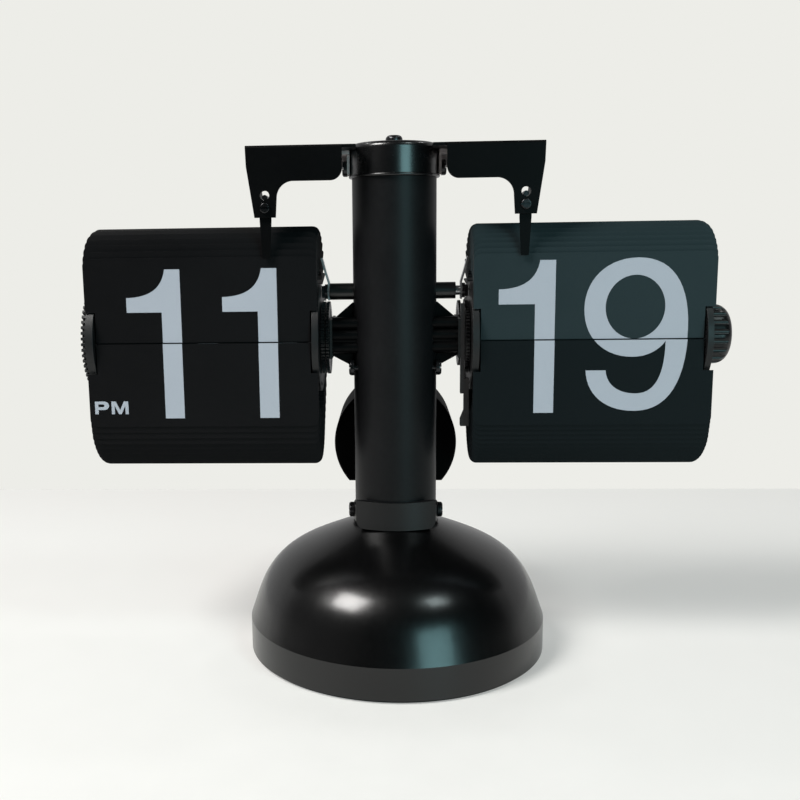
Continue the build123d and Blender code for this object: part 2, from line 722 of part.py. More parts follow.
# ---------------------------------------------------------------------------
# Flaps
# ---------------------------------------------------------------------------
def flap_template():
    """One flap of the right-hand drum, pivot edge on X, standing along +Y."""
    shoulders = Polyline((flap_x0, flap_len), (flap_x0, flap_neck), (flap_neck_x0, flap_neck),
                         (flap_neck_x0, 0), (flap_neck_x1, 0), (flap_neck_x1, flap_neck),
                         (flap_x1, flap_neck), (flap_x1, flap_len), (flap_x0, flap_len))
    face = make_face(shoulders)
    tips = face.vertices().group_by(Axis.Y)[-1]
    return extrude(fillet(tips, flap_corner), flap_t / 2, both=True)


def placed_flap(template, y, z, lean_deg):
    """Stand the flap on its pivot at (y, z), leaning back by lean_deg from upright."""
    lean = math.radians(lean_deg)
    plane = Plane(origin=(0, y, z), x_dir=(1, 0, 0), z_dir=(0, -math.cos(lean), math.sin(lean)))
    return plane.location * template


def lean_at(angle):
    """How far a flap leans back when its pivot has turned this far from the front."""
    t = (angle - fan_start) / (fan_end - fan_start)
    t = min(1.0, max(0.0, t))
    return 180.0 * t * t * (3 - 2 * t)


def flap_stack(count):
    """Pivot and lean of every flap that stays on the drum, front upper flap first."""
    first = math.degrees(math.asin(split_gap / pin_r))
    step = (360.0 - 2 * first) / (count - 1)
    places = []
    for k in range(count - 1):
        angle = first + k * step
        from_front = min(k, count - 1 - k - 1)
        ring_y = -pin_r * math.cos(math.radians(angle))
        y = max(flap_plane_y + flap_pitch * from_front, ring_y)
        z = axle_z + pin_r * math.sin(math.radians(angle))
        places.append((angle, y, z, lean_at(angle)))
    return places


def flap_pack(count, upper, side):
    template = flap_template()
    flaps = []
    for angle, y, z, lean in flap_stack(count):
        if (angle < upper_pack_end) == upper:
            flap = placed_flap(template, y, z, lean)
            flaps.append(flap if side > 0 else mirror_x(flap))
    return group(flaps)


def fallen_flap(side):
    """The flap that has just fallen, with a short pivot pin at each end of its neck."""
    pivot_z = axle_z - split_gap
    flap = placed_flap(flap_template(), fallen_flap_y, pivot_z, 180.0)
    for x in (flap_neck_x0, flap_neck_x1):
        inner = x + flap_pin_root * (1 if x == flap_neck_x0 else -1)
        outer = x + flap_pin_reach * (-1 if x == flap_neck_x0 else 1)
        flap += rod_x(flap_pin_r, min(inner, outer), max(inner, outer), fallen_flap_y, pivot_z)
    return flap if side > 0 else mirror_x(flap)


# ---------------------------------------------------------------------------
# Electronics housing behind the column
# ---------------------------------------------------------------------------
def housing_solid(radius, flat_z, y0, y1):
    body = rod_y(radius, y0, y1, 0, housing_z)
    return body - block(-40, 40, y0 - 1, y1 + 1, 0, flat_z)


def housing_front():
    shell = housing_solid(housing_r, housing_flat_z, housing_front_y, housing_seam_y)
    front_edges = shell.faces().sort_by(Axis.Y)[0].edges()
    shell = fillet(front_edges, 1.6)
    shell -= housing_solid(housing_r - housing_skin, housing_flat_z + housing_skin,
                           housing_front_y + housing_skin, housing_seam_y + 1)
    saddle = block(-7, 7, 9, housing_front_y + 1.0, housing_z - 10, housing_z + 10)
    saddle -= rod_z(column_r + fixed_gap, 40, 100)
    shell += saddle
    shell -= block(-4, 4, 5, housing_front_y + 4, housing_z - 5, housing_z + 5)
    return shell


def housing_rear():
    shell = housing_solid(housing_r, housing_flat_z, housing_seam_y + 0.3, housing_back_y)
    rear_edges = shell.faces().sort_by(Axis.Y)[-1].edges()
    shell = fillet(rear_edges, 2.4)
    shell -= housing_solid(housing_r - housing_skin, housing_flat_z + housing_skin,
                           housing_seam_y - 1, housing_back_y - housing_skin)
    for x, z in housing_screw_places():
        shell -= rod_y(1.52, housing_back_y - 4, housing_back_y + 1, x, z)
    return shell


def housing_screw_places():
    return [(-13.0, housing_z - 8.0), (13.0, housing_z - 8.0), (0.0, housing_z + 16.0)]


def housing_screws():
    screws = []
    for x, z in housing_screw_places():
        screws.append(pan_head_y(housing_back_y, 1, x, z, 2.6, 1.2, 1.5, 26.0))
    return group(screws)


def circuit_board():
    """Board with its chip, crystal and capacitor."""
    board = block(-15.0, 15.0, 24.0, 25.6, housing_z - 9.0, housing_z + 13.0)
    for x, z in housing_screw_places():
        board -= rod_y(1.8, 20, 30, x, z)
    board += block(-5.0, 5.0, 25.5, 27.2, housing_z - 4.0, housing_z + 6.0)
    board += Pos(-10.0, 26.9, housing_z + 2.0) * Cylinder(1.5, 6.0)
    board += rod_y(3.0, 25.5, 33.6, 9.5, housing_z + 5.0)
    return board


# ---------------------------------------------------------------------------
# Every named piece
# ---------------------------------------------------------------------------
pieces = {
    "base_dome": base_dome(),
    "base_plate": base_plate(),
    "foot_pads": foot_pads(),
    "base_weight": base_weight(),
    "battery_box": battery_box(),
    "battery_cell": battery_cell(),
    "battery_contacts": battery_contacts(),
    "battery_door": battery_door(),
    "stay_rods": stay_rods(),
    "column_foot": column_foot(),
    "column_tube": column_tube(),
    "lower_collar": lower_collar(),
    "collar_screws": side_screws(collar_r, collar_screw_z),
    "column_cap": column_cap(),
    "cap_top_screw": cap_top_screw(),
    "cap_side_screws": side_screws(bracket_x0 + bracket_t, cap_screw_z),
    "arm_left": mirror_x(arm_right()),
    "arm_right": arm_right(),
    "arm_brackets": pair(arm_bracket_right()),
    "arm_rivets": arm_rivets(),
    "finger_left": mirror_x(finger_right()),
    "finger_right": finger_right(),
    "finger_blocks": pair(finger_block_right()),
    "finger_screws": finger_screws(),
    "finger_pins": finger_pins(),
    "axle": axle(),
    "axle_clip": axle_clip(),
    "boss_left": mirror_x(boss_right()),
    "boss_right": boss_right(),
    "boss_screws": boss_screws(),
    "side_plate_left": mirror_x(side_plate(False)),
    "side_plate_right": side_plate(True),
    "gear_guard": gear_guard(),
    "tie_rod": tie_rod(),
    "tie_rod_nuts": tie_rod_nuts(),
    "detent_springs": pair(detent_spring_right()),
    "motor_body": motor_body(),
    "motor_shaft": motor_shaft(),
    "layshaft": layshaft(),
    "layshaft_wheel": layshaft_wheel(),
    "minute_index_wheel": minute_index_wheel(),
    "minute_pinion": minute_pinion(),
    "minute_disc_inner": flap_disc(inner_disc_x, inner_disc_x + inner_disc_t, minute_flap_count),
    "minute_hub": hub(inner_disc_x + inner_disc_t, outer_disc_x),
    "minute_disc_outer": minute_disc_outer(),
    "knob": knob(),
    "hour_gear": hour_gear(),
    "hour_disc_inner": flap_disc(-inner_disc_x - inner_disc_t, -inner_disc_x, hour_flap_count),
    "hour_hub": hub(-outer_disc_x, -inner_disc_x - inner_disc_t),
    "hour_disc_outer": hour_disc_outer(),
    "minute_flaps_upper": flap_pack(minute_flap_count, True, 1),
    "minute_flaps_lower": flap_pack(minute_flap_count, False, 1),
    "minute_fallen_flap": fallen_flap(1),
    "hour_flaps_upper": flap_pack(hour_flap_count, True, -1),
    "hour_flaps_lower": flap_pack(hour_flap_count, False, -1),
    "hour_fallen_flap": fallen_flap(-1),
    "housing_front": housing_front(),
    "housing_rear": housing_rear(),
    "housing_screws": housing_screws(),
    "circuit_board": circuit_board(),
}

for name, shape in pieces.items():
    export_step(shape, f"parts/{name}.step")
print(len(pieces), "pieces written")
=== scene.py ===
import json
import math

import bmesh
import bpy
from mathutils import Matrix, Vector


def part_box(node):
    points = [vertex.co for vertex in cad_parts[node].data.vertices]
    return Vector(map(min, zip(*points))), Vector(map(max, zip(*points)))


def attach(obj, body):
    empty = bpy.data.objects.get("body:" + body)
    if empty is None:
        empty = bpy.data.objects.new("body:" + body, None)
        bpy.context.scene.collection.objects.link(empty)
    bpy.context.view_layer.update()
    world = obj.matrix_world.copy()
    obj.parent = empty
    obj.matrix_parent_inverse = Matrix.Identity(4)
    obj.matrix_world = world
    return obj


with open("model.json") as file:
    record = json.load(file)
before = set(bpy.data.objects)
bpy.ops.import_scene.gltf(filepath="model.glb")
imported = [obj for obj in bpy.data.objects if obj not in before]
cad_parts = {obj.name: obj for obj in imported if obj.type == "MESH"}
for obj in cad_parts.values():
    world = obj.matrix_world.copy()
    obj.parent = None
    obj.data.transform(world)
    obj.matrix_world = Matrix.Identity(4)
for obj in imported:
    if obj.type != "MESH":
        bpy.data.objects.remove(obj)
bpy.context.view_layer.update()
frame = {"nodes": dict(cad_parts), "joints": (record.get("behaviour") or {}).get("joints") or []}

MM = 0.001

# Camera, as fitted to the clock's outline
CAMERA_PLACE = (-0.00125, -0.33647, 0.13945)
CAMERA_RIGHT = (0.99850, 0.05289, -0.01438)
CAMERA_UP = (0.00515, 0.17077, 0.98526)
CAMERA_LENS = 44.33
CAMERA_SENSOR = 36.0
CAMERA_SHIFT = (0.0777, 0.0217)

# Table top, and the plain backdrop that is seen behind it
TABLE_FRONT = -0.36
TABLE_BACK = 0.223
TABLE_HALF_WIDTH = 1.4
TABLE_COLOR = (0.51, 0.505, 0.49)
TABLE_GLOW = (0.33, 0.325, 0.315)
WALL_COLOR = (0.847, 0.847, 0.807)

# How much light the wall behind, the left side and the rest of the room give the clock
WALL_LIGHT = 0.62
LEFT_LIGHT = 0.15
ROOM_LIGHT = 0.02

# The point that every lamp faces
LAMPS_AIM_AT = (0.0, 0.0, 0.08)

# Edges sharper than this, in degrees, are softened; the dome's wall meets it at a shallow crease
SHARP_EDGE = 32.0
SHALLOW_CREASE = 14.0

# Clear coats, the start of the spacer rod's bare thread, and how far the battery sleeve's
# colours run to each side of its middle
COAT_ROUGHNESS = 0.12
BARE_THREAD_X = 20.4 * MM
SLEEVE_RUN = 30.0 * MM

# Print on the flaps
FLAP_HALF_THICKNESS = 0.16 * MM
INK_THICKNESS = 0.03 * MM
INK_SUNK = 0.005 * MM
CURVE_STEPS = 14
CIRCLE_HANDLE = 0.5523

# The figures, in mm, as drawn: a one's upright and flag, and the height of a straight figure
FIGURE_HEIGHT = 50.0
ONE_UPRIGHT = 6.4
ONE_FLAG = 11.6

# Where the figures stand, in mm: x from the flap's left edge, feet from the line it turns on.
# A one is placed by its upright's left edge, a round figure by its middle.
HOUR_TENS_X = 25.6
HOUR_ONE_X = 57.3
HOUR_ZERO_X = 53.4
HOUR_FOOT = -24.8
HOUR_TALLNESS = 0.982
MINUTE_TENS_X = 19.6
MINUTE_UNITS_X = 51.7
MINUTE_FOOT = -23.6
MINUTE_TALLNESS = 0.986
LETTERS_X = 1.8
LETTERS_FOOT = -23.3


# ---------------------------------------------------------------------------
# Pieces of node trees
# ---------------------------------------------------------------------------
def ramp_between(tree, value, low, high, out_low, out_high):
    """Smooth step of a value from one range to another."""
    node = tree.nodes.new("ShaderNodeMapRange")
    node.interpolation_type = "SMOOTHSTEP"
    node.inputs["From Min"].default_value = low
    node.inputs["From Max"].default_value = high
    node.inputs["To Min"].default_value = out_low
    node.inputs["To Max"].default_value = out_high
    tree.links.new(value, node.inputs["Value"])
    return node.outputs["Result"]


def combined(tree, operation, first, second):
    """A value worked out from two others; either may be a plain number."""
    node = tree.nodes.new("ShaderNodeMath")
    node.operation = operation
    for socket, value in zip(node.inputs, (first, second)):
        if isinstance(value, float):
            socket.default_value = value
        else:
            tree.links.new(value, socket)
    return node.outputs["Value"]


def noise(tree, place, scale, detail=3.0):
    """Cloudy values about a half, with about scale patches in a metre."""
    node = tree.nodes.new("ShaderNodeTexNoise")
    node.inputs["Scale"].default_value = scale
    node.inputs["Detail"].default_value = detail
    node.inputs["Roughness"].default_value = 0.55
    tree.links.new(place, node.inputs["Vector"])
    return node.outputs["Fac"]


def object_place(tree, stretch=(1.0, 1.0, 1.0)):
    """The point on the object, in metres, stretched for grain that runs one way."""
    place = tree.nodes.new("ShaderNodeTexCoord").outputs["Object"]
    mapping = tree.nodes.new("ShaderNodeMapping")
    mapping.inputs["Scale"].default_value = stretch
    tree.links.new(place, mapping.inputs["Vector"])
    return mapping.outputs["Vector"]


def object_x(tree):
    """The point's distance to the right, in metres."""
    split = tree.nodes.new("ShaderNodeSeparateXYZ")
    tree.links.new(tree.nodes.new("ShaderNodeTexCoord").outputs["Object"], split.inputs["Vector"])
    return split.outputs["X"]


def color_ramp(tree, value, stops):
    """Colour looked up by a value; stops are pairs of position and colour."""
    node = tree.nodes.new("ShaderNodeValToRGB")
    while len(node.color_ramp.elements) < len(stops):
        node.color_ramp.elements.new(0.5)
    for element, (position, color) in zip(node.color_ramp.elements, stops):
        element.position = position
        element.color = (*color, 1.0)
    tree.links.new(value, node.inputs["Fac"])
    return node.outputs["Color"]


def shaded(color, factor):
    """The same colour, lighter or darker."""
    return tuple(min(1.0, c * factor) for c in color)


# ---------------------------------------------------------------------------
# Camera, light and stage
# ---------------------------------------------------------------------------
def make_camera():
    """The camera, from its place and the directions of its right side and its top."""
    data = bpy.data.cameras.new("camera")
    data.lens = CAMERA_LENS
    data.sensor_width = CAMERA_SENSOR
    data.shift_x, data.shift_y = CAMERA_SHIFT
    data.clip_start = 0.01
    data.clip_end = 20.0
    camera = bpy.data.objects.new("camera", data)
    bpy.context.scene.collection.objects.link(camera)
    right = Vector(CAMERA_RIGHT).normalized()
    up = Vector(CAMERA_UP)
    up = (up - right * up.dot(right)).normalized()
    turn = Matrix((right, up, right.cross(up))).transposed()
    camera.matrix_world = Matrix.Translation(CAMERA_PLACE) @ turn.to_4x4()
    bpy.context.scene.camera = camera


def soft_light(name, azimuth, elevation, distance, size, power, color):
    """Area light that faces the clock; azimuth is in degrees to the right of the viewer's side."""
    data = bpy.data.lights.new(name, "AREA")
    data.shape = "RECTANGLE"
    data.size, data.size_y = size
    data.energy = power
    data.color = color
    light = bpy.data.objects.new(name, data)
    bpy.context.scene.collection.objects.link(light)
    turn = math.radians(azimuth)
    rise = math.radians(elevation)
    level = math.cos(rise)
    away = Vector((math.sin(turn) * level, -math.cos(turn) * level, math.sin(rise)))
    light.location = Vector(LAMPS_AIM_AT) + away * distance
    light.rotation_euler = away.to_track_quat("Z", "Y").to_euler()


def make_lights():
    """A window on each side, a lamp over the right one, and two small lamps behind."""
    soft_light("window_left", azimuth=-54, elevation=49, distance=1.1, size=(0.40, 0.40),
               power=14.0, color=(1.0, 0.985, 0.96))
    soft_light("window_right", azimuth=29.5, elevation=9, distance=1.5, size=(0.66, 0.62),
               power=7.8, color=(0.50, 0.95, 1.0))
    soft_light("lamp_right", azimuth=48, elevation=54, distance=1.3, size=(0.26, 0.26),
               power=2.5, color=(0.85, 1.0, 1.0))
    for side, azimuth in (("left", -118), ("right", 118)):
        soft_light("lamp_behind_" + side, azimuth=azimuth, elevation=53, distance=1.3, size=(0.1, 0.1),
                   power=1.0, color=(1.0, 1.0, 1.0))


def make_world():
    """A dim room that is brighter behind the clock and on its left, before a pale backdrop."""
    world = bpy.data.worlds.new("room")
    world.use_nodes = True
    tree = world.node_tree
    tree.nodes.clear()
    direction = tree.nodes.new("ShaderNodeTexCoord").outputs["Generated"]
    split = tree.nodes.new("ShaderNodeSeparateXYZ")
    tree.links.new(direction, split.inputs["Vector"])
    behind = ramp_between(tree, split.outputs["Y"], 0.02, 0.40, 0.0, WALL_LIGHT)
    not_above = ramp_between(tree, split.outputs["Z"], 0.35, 0.85, 1.0, 0.12)
    wall = combined(tree, "MULTIPLY", behind, not_above)
    left = ramp_between(tree, split.outputs["X"], -0.85, -0.30, LEFT_LIGHT, 0.0)
    room = combined(tree, "ADD", combined(tree, "ADD", wall, left), ROOM_LIGHT)
    light = tree.nodes.new("ShaderNodeBackground")
    tree.links.new(room, light.inputs["Strength"])
    seen = tree.nodes.new("ShaderNodeBackground")
    seen.inputs["Color"].default_value = (*WALL_COLOR, 1.0)
    camera_ray = tree.nodes.new("ShaderNodeLightPath").outputs["Is Camera Ray"]
    mix = tree.nodes.new("ShaderNodeMixShader")
    tree.links.new(camera_ray, mix.inputs["Fac"])
    tree.links.new(light.outputs["Background"], mix.inputs[1])
    tree.links.new(seen.outputs["Background"], mix.inputs[2])
    out = tree.nodes.new("ShaderNodeOutputWorld")
    tree.links.new(mix.outputs["Shader"], out.inputs["Surface"])
    bpy.context.scene.world = world


def make_stage():
    """A pale table top that glows a little, so that its shadows stay light."""
    mesh = bpy.data.meshes.new("table")
    left, right = -TABLE_HALF_WIDTH, TABLE_HALF_WIDTH
    corners = [(left, TABLE_FRONT, 0), (right, TABLE_FRONT, 0), (right, TABLE_BACK, 0),
               (left, TABLE_BACK, 0)]
    mesh.from_pydata(corners, [], [(0, 1, 2, 3)])
    table = bpy.data.objects.new("table", mesh)
    bpy.context.scene.collection.objects.link(table)
    material = surface("table", TABLE_COLOR, 0.55, tint=0.015, grain=300.0, relief=0.01)
    shader = material.node_tree.nodes["Principled BSDF"]
    shader.inputs["Emission Color"].default_value = (*TABLE_GLOW, 1.0)
    shader.inputs["Emission Strength"].default_value = 1.0
    mesh.materials.append(material)


# ---------------------------------------------------------------------------
# Materials
# ---------------------------------------------------------------------------
def surface(name, color, roughness, metallic=0.0, tint=0.2, gloss_spread=0.06, grain=900.0,
            relief=0.02, patches=70.0, coat=0.0, specular=0.5, stretch=(1.0, 1.0, 1.0)):
    """Material with uneven colour and gloss, and a fine relief of the given depth in mm."""
    material = bpy.data.materials.new(name)
    material.use_nodes = True
    tree = material.node_tree
    shader = tree.nodes["Principled BSDF"]
    shader.inputs["Metallic"].default_value = metallic
    shader.inputs["Specular IOR Level"].default_value = specular
    shader.inputs["Coat Weight"].default_value = coat
    shader.inputs["Coat Roughness"].default_value = COAT_ROUGHNESS
    place = object_place(tree, stretch)
    cloud = noise(tree, place, patches, 4.0)
    fine = noise(tree, place, grain, 2.0)
    mottled = combined(tree, "ADD", combined(tree, "MULTIPLY", cloud, 0.65),
                       combined(tree, "MULTIPLY", fine, 0.35))
    stops = [(0.30, shaded(color, 1 - tint)), (0.52, color), (0.72, shaded(color, 1 + tint))]
    tree.links.new(color_ramp(tree, mottled, stops), shader.inputs["Base Color"])
    gloss = ramp_between(tree, mottled, 0.3, 0.7, max(0.03, roughness - gloss_spread),
                         roughness + gloss_spread)
    tree.links.new(gloss, shader.inputs["Roughness"])
    bump = tree.nodes.new("ShaderNodeBump")
    bump.inputs["Strength"].default_value = 1.0
    bump.inputs["Distance"].default_value = relief * MM
    tree.links.new(fine, bump.inputs["Height"])
    tree.links.new(bump.outputs["Normal"], shader.inputs["Normal"])
    return material


def enamel(name, black, roughness, coat=0.0, specular=0.5, relief=0.006):
    """Black enamel with a faint orange peel; black is how much light it gives back."""
    return surface(name, (black, black, 1.1 * black), roughness, tint=0.3, gloss_spread=0.02,
                   grain=650.0, relief=relief, patches=45.0, coat=coat, specular=specular)


def brushed(name, color, roughness, stretch):
    """Bare metal with fine lines along one direction."""
    return surface(name, color, roughness, metallic=1.0, tint=0.16, gloss_spread=0.08,
                   grain=1500.0, relief=0.006, patches=220.0, stretch=stretch)


def moulded(name, color, roughness, grain=1300.0, relief=0.02, specular=0.45):
    """Black moulded plastic with a spark-eroded grain."""
    return surface(name, color, roughness, tint=0.22, gloss_spread=0.05, grain=grain,
                   relief=relief, patches=90.0, specular=specular)


def battery_wrap():
    """Printed sleeve: a dark body and a copper band at the positive end."""
    material = surface("battery_wrap", (0.035, 0.04, 0.045), 0.22, tint=0.15, coat=0.6,
                       grain=500.0, relief=0.004)
    tree = material.node_tree
    shader = tree.nodes["Principled BSDF"]
    along = ramp_between(tree, object_x(tree), -SLEEVE_RUN, SLEEVE_RUN, 0.0, 1.0)
    dark = (0.03, 0.035, 0.04)
    copper = (0.42, 0.20, 0.09)
    stops = [(0.0, dark), (0.70, dark), (0.72, copper)]
    tree.links.new(color_ramp(tree, along, stops), shader.inputs["Base Color"])
    return material


def circuit_green():
    """Solder mask with paler tracks under it."""
    material = surface("circuit_green", (0.012, 0.07, 0.03), 0.3, tint=0.2, grain=700.0, relief=0.01)
    tree = material.node_tree
    shader = tree.nodes["Principled BSDF"]
    cells = tree.nodes.new("ShaderNodeTexVoronoi")
    cells.feature = "DISTANCE_TO_EDGE"
    cells.distance = "EUCLIDEAN"
    cells.inputs["Scale"].default_value = 320.0
    tree.links.new(object_place(tree, (1.0, 0.15, 1.0)), cells.inputs["Vector"])
    track = (0.03, 0.16, 0.07)
    mask = (0.010, 0.06, 0.026)
    stops = [(0.0, track), (0.10, track), (0.13, mask)]
    tree.links.new(color_ramp(tree, cells.outputs["Distance"], stops), shader.inputs["Base Color"])
    return material


def flap_vinyl(name, color):
    """Thin black card stock with a faint calendered grain."""
    return surface(name, color, 0.5, tint=0.12, gloss_spread=0.04, grain=1700.0,
                   relief=0.006, patches=30.0, specular=0.12)


def digit_ink():
    """Screen-printed pale ink, slightly uneven."""
    return surface("digit_ink", (0.375, 0.385, 0.435), 0.6, tint=0.025, gloss_spread=0.05,
                   grain=1400.0, relief=0.004, patches=40.0, specular=0.3)


def painted_rod():
    """Black spacer rod whose right-hand threaded end is bare steel."""
    material = surface("painted_rod", (0.003, 0.003, 0.003), 0.33, gloss_spread=0.05, grain=1500.0,
                       relief=0.006)
    tree = material.node_tree
    shader = tree.nodes["Principled BSDF"]
    bare = ramp_between(tree, object_x(tree), BARE_THREAD_X, BARE_THREAD_X + 0.2 * MM, 0.0, 1.0)
    cloud = noise(tree, object_place(tree), 400.0)
    paint = color_ramp(tree, cloud, [(0.3, (0.002, 0.002, 0.002)), (0.7, (0.004, 0.004, 0.004))])
    steel = color_ramp(tree, cloud, [(0.3, (0.40, 0.41, 0.42)), (0.7, (0.55, 0.56, 0.57))])
    mix = tree.nodes.new("ShaderNodeMix")
    mix.data_type = "RGBA"
    tree.links.new(bare, mix.inputs["Factor"])
    tree.links.new(paint, mix.inputs["A"])
    tree.links.new(steel, mix.inputs["B"])
    tree.links.new(mix.outputs["Result"], shader.inputs["Base Color"])
    tree.links.new(bare, shader.inputs["Metallic"])
    return material


def node_materials():
    """Which material each CAD node gets."""
    plate = surface("black_plate", (0.004, 0.004, 0.0042), 0.5, tint=0.3, grain=1500.0, relief=0.015,
                    specular=0.35)
    screw = surface("black_screw", (0.03, 0.03, 0.032), 0.28, metallic=0.85, tint=0.35,
                    grain=1800.0, relief=0.01)
    zinc = brushed("zinc_steel", (0.42, 0.43, 0.44), 0.38, (1.0, 0.08, 1.0))
    bright = brushed("bright_steel", (0.62, 0.63, 0.64), 0.2, (1.0, 0.05, 0.05))
    dark = brushed("dark_steel", (0.10, 0.10, 0.105), 0.3, (1.0, 0.05, 0.05))
    # The slight red tint in this grey is painted to cancel the teal light of the right-hand window
    # falling on the brackets
    bracket = surface("bracket_grey", (0.34, 0.31, 0.31), 0.7, tint=0.12, grain=1500.0,
                      relief=0.01, specular=0.15)
    drum = moulded("drum_plastic", (0.005, 0.005, 0.0055), 0.48, specular=0.35)
    gears = moulded("gear_plastic", (0.005, 0.005, 0.0055), 0.34, grain=1800.0, relief=0.008,
                    specular=0.30)
    housing = moulded("housing_plastic", (0.0022, 0.0022, 0.0024), 0.55, grain=1800.0, relief=0.006,
                      specular=0.015)
    bay = moulded("bay_plastic", (0.009, 0.009, 0.0095), 0.55, grain=1000.0, relief=0.03)
    arm = enamel("enamel_arm", 0.0016, 0.42, specular=0.07)
    # The minute flaps are the same black card as the hour flaps: the upper ones' paler teal colour is
    # a painted reflection of the right-hand window, and the lower ones carry a fainter painted teal
    # reflection
    flap_upper_painted_reflection = flap_vinyl("flap_minute_upper_painted_reflection", (0.0162, 0.0256, 0.0288))
    flap_lower_faint_painted_reflection = flap_vinyl("flap_minute_lower_faint_painted_reflection", (0.0018, 0.0034, 0.0044))
    flap_hour = flap_vinyl("flap_hour", (0.0025, 0.0023, 0.0028))
    return {
        enamel("enamel_dome", 0.0011, 0.25, 0.1, specular=0.42, relief=0.003): ["base_dome"],
        enamel("enamel_column", 0.0062, 0.42, specular=0.13): ["column_tube"],
        enamel("enamel_cap", 0.0030, 0.27, 0.12, relief=0.003): ["column_cap"],
        enamel("enamel_collar", 0.0045, 0.36, specular=0.3): ["lower_collar"],
        arm: ["arm_left", "arm_right", "boss_left", "boss_right", "finger_left", "finger_right"],
        plate: ["side_plate_left", "side_plate_right", "base_plate"],
        screw: ["cap_top_screw", "cap_side_screws", "collar_screws", "boss_screws", "finger_screws",
                "finger_pins", "tie_rod_nuts", "housing_screws"],
        zinc: ["arm_rivets", "detent_springs", "battery_contacts", "stay_rods", "column_foot",
               "axle_clip"],
        bracket: ["arm_brackets"],
        bright: ["layshaft"],
        dark: ["axle", "motor_shaft"],
        painted_rod(): ["tie_rod"],
        surface("cast_iron", (0.05, 0.05, 0.052), 0.7, metallic=0.4, tint=0.4, grain=600.0,
                relief=0.12): ["base_weight"],
        surface("rubber", (0.010, 0.010, 0.010), 0.8, tint=0.3, grain=2200.0, relief=0.03,
                specular=0.3): ["foot_pads"],
        drum: ["minute_disc_inner", "minute_disc_outer", "minute_hub", "hour_disc_inner",
               "hour_disc_outer", "hour_hub", "finger_blocks"],
        moulded("knob_plastic", (0.0035, 0.0035, 0.004), 0.30, specular=0.3): ["knob"],
        gears: ["minute_index_wheel", "minute_pinion", "hour_gear", "layshaft_wheel"],
        flap_upper_painted_reflection: ["minute_flaps_upper"],
        flap_lower_faint_painted_reflection: ["minute_flaps_lower", "minute_fallen_flap"],
        flap_hour: ["hour_flaps_upper", "hour_flaps_lower", "hour_fallen_flap"],
        housing: ["housing_front", "housing_rear"],
        bay: ["battery_box", "battery_door", "gear_guard"],
        battery_wrap(): ["battery_cell"],
        brushed("motor_can", (0.5, 0.5, 0.5), 0.32, (0.08, 1.0, 1.0)): ["motor_body"],
        circuit_green(): ["circuit_board"],
    }


def dress_nodes():
    """Give every CAD node its material."""
    for material, names in node_materials().items():
        for name in names:
            mesh = frame["nodes"][name].data
            mesh.materials.clear()
            mesh.materials.append(material)


# ---------------------------------------------------------------------------
# Softened edges
# ---------------------------------------------------------------------------
def seam_joiner(angle_deg):
    """Geometry nodes that join a CAD mesh along its seams and keep its sharp edges."""
    group = bpy.data.node_groups.new("joined_faces", "GeometryNodeTree")
    group.interface.new_socket("Geometry", in_out="INPUT", socket_type="NodeSocketGeometry")
    group.interface.new_socket("Geometry", in_out="OUTPUT", socket_type="NodeSocketGeometry")
    start = group.nodes.new("NodeGroupInput")
    end = group.nodes.new("NodeGroupOutput")
    forget = group.nodes.new("GeometryNodeRemoveAttribute")
    forget.inputs["Name"].default_value = "custom_normal"
    merge = group.nodes.new("GeometryNodeMergeByDistance")
    merge.inputs["Distance"].default_value = 0.001 * MM
    smooth = group.nodes.new("GeometryNodeSetShadeSmooth")
    smooth.inputs["Shade Smooth"].default_value = True
    sharp = group.nodes.new("GeometryNodeSetShadeSmooth")
    sharp.domain = "EDGE"
    sharp.inputs["Shade Smooth"].default_value = False
    angle = group.nodes.new("GeometryNodeInputMeshEdgeAngle")
    compare = group.nodes.new("FunctionNodeCompare")
    compare.operation = "GREATER_THAN"
    compare.inputs["B"].default_value = math.radians(angle_deg)
    chain = [start, forget, merge, smooth, sharp, end]
    for first, second in zip(chain, chain[1:]):
        group.links.new(first.outputs[0], second.inputs[0])
    group.links.new(angle.outputs["Unsigned Angle"], compare.inputs["A"])
    group.links.new(compare.outputs["Result"], sharp.inputs["Selection"])
    return group


def soften_edges():
    """Small rounded edges on the parts whose edges catch the light."""
    joiners = {angle: seam_joiner(angle) for angle in (SHALLOW_CREASE, SHARP_EDGE)}
    widths = {
        0.35: ["base_dome", "knob", "hour_disc_outer", "housing_front", "housing_rear"],
        0.22: ["arm_left", "arm_right", "column_cap", "lower_collar", "arm_brackets"],
        0.12: ["minute_disc_outer", "minute_disc_inner", "hour_disc_inner", "finger_blocks",
               "tie_rod_nuts", "boss_left", "boss_right"],
        0.05: ["minute_flaps_upper", "minute_flaps_lower", "minute_fallen_flap",
               "hour_flaps_upper", "hour_flaps_lower", "hour_fallen_flap",
               "finger_left", "finger_right"],
    }
    for width, names in widths.items():
        for name in names:
            obj = frame["nodes"][name]
            joined = obj.modifiers.new("joined", "NODES")
            crease = SHALLOW_CREASE if name == "base_dome" else SHARP_EDGE
            joined.node_group = joiners[crease]
            bevel = obj.modifiers.new("rounded", "BEVEL")
            bevel.width = width * MM
            bevel.segments = 2
            bevel.limit_method = "ANGLE"
            bevel.angle_limit = math.radians(crease)
            bevel.harden_normals = True


# ---------------------------------------------------------------------------
# Figures. A path is a list of steps that each end in a point: a straight step is (point,),
# and a curved step is (handle, handle, point). Sizes are in mm, and a figure stands on height 0.
# ---------------------------------------------------------------------------
def straight(*points):
    """Straight steps to these points, one after the other."""
    return [(point,) for point in points]


def ring(x, z, half_width, half_height):
    """An oval about (x, z), as four curved steps."""
    a = half_width * CIRCLE_HANDLE
    b = half_height * CIRCLE_HANDLE
    left, right = x - half_width, x + half_width
    low, high = z - half_height, z + half_height
    return [
        ((left, z - b), (x - a, low), (x, low)),
        ((x + a, low), (right, z - b), (right, z)),
        ((right, z + b), (x + a, high), (x, high)),
        ((x - a, high), (left, z + b), (left, z)),
    ]


